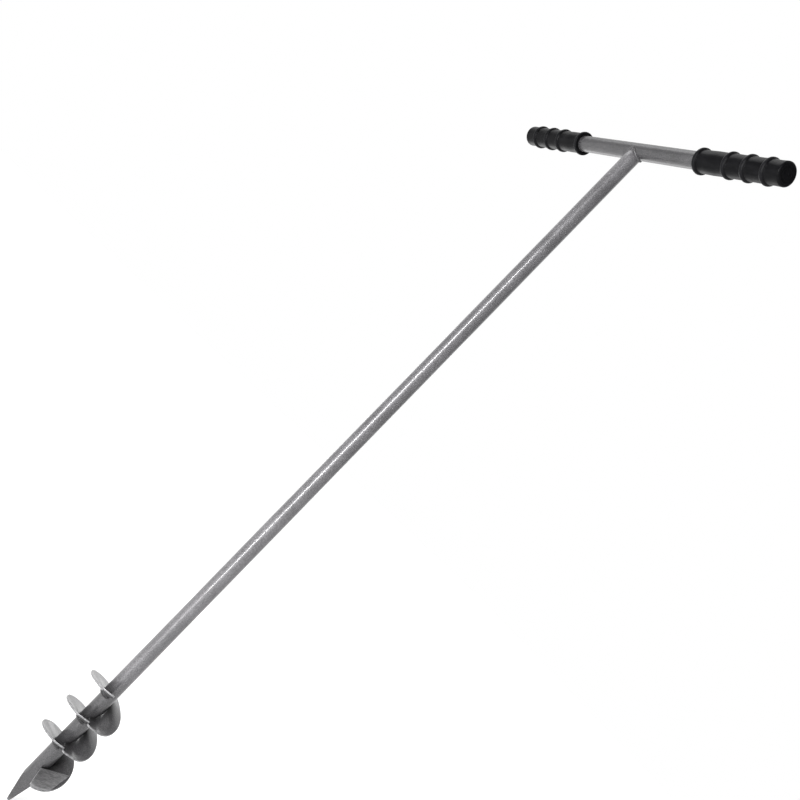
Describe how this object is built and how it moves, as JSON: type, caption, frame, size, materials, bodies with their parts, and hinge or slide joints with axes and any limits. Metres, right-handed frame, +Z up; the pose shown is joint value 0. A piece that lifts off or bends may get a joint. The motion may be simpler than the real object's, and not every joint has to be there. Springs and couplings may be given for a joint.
{
  "type": "soil auger",
  "caption": "Hand auger for soil: straight tube shaft with a crossbar handle in soft grips, a spear point and a right-hand screw of welded plate turns with a cutting knife.",
  "frame": {"origin": "tip of the spear point, on the shaft's axis", "axes": "+Z up the shaft from the point to the crossbar, X along the crossbar"},
  "size_m": [0.476, 0.07, 1.0954],
  "materials": {
    "frame_paint": "silver-grey hammered enamel, semi-gloss",
    "flight_paint": "silver-grey enamel over sheared plate",
    "knife_paint": "thin silver-grey enamel over ground steel",
    "weld_paint": "silver-grey enamel over rough weld bead",
    "grip": "black soft PVC, satin"
  },
  "bodies": {
    "root": {"shaft_tube": "frame_paint", "crossbar_tube": "frame_paint", "crossbar_weld": "weld_paint", "flight_lower": "flight_paint", "flight_middle": "flight_paint", "flight_upper": "flight_paint", "flight_weld_lower": "weld_paint", "flight_weld_middle": "weld_paint", "flight_weld_upper": "weld_paint", "seam_weld_lower": "weld_paint", "seam_weld_upper": "weld_paint", "cutting_knife": "knife_paint", "knife_weld": "weld_paint", "grip_right": "grip", "grip_left": "grip"}
  },
  "joints": []
}
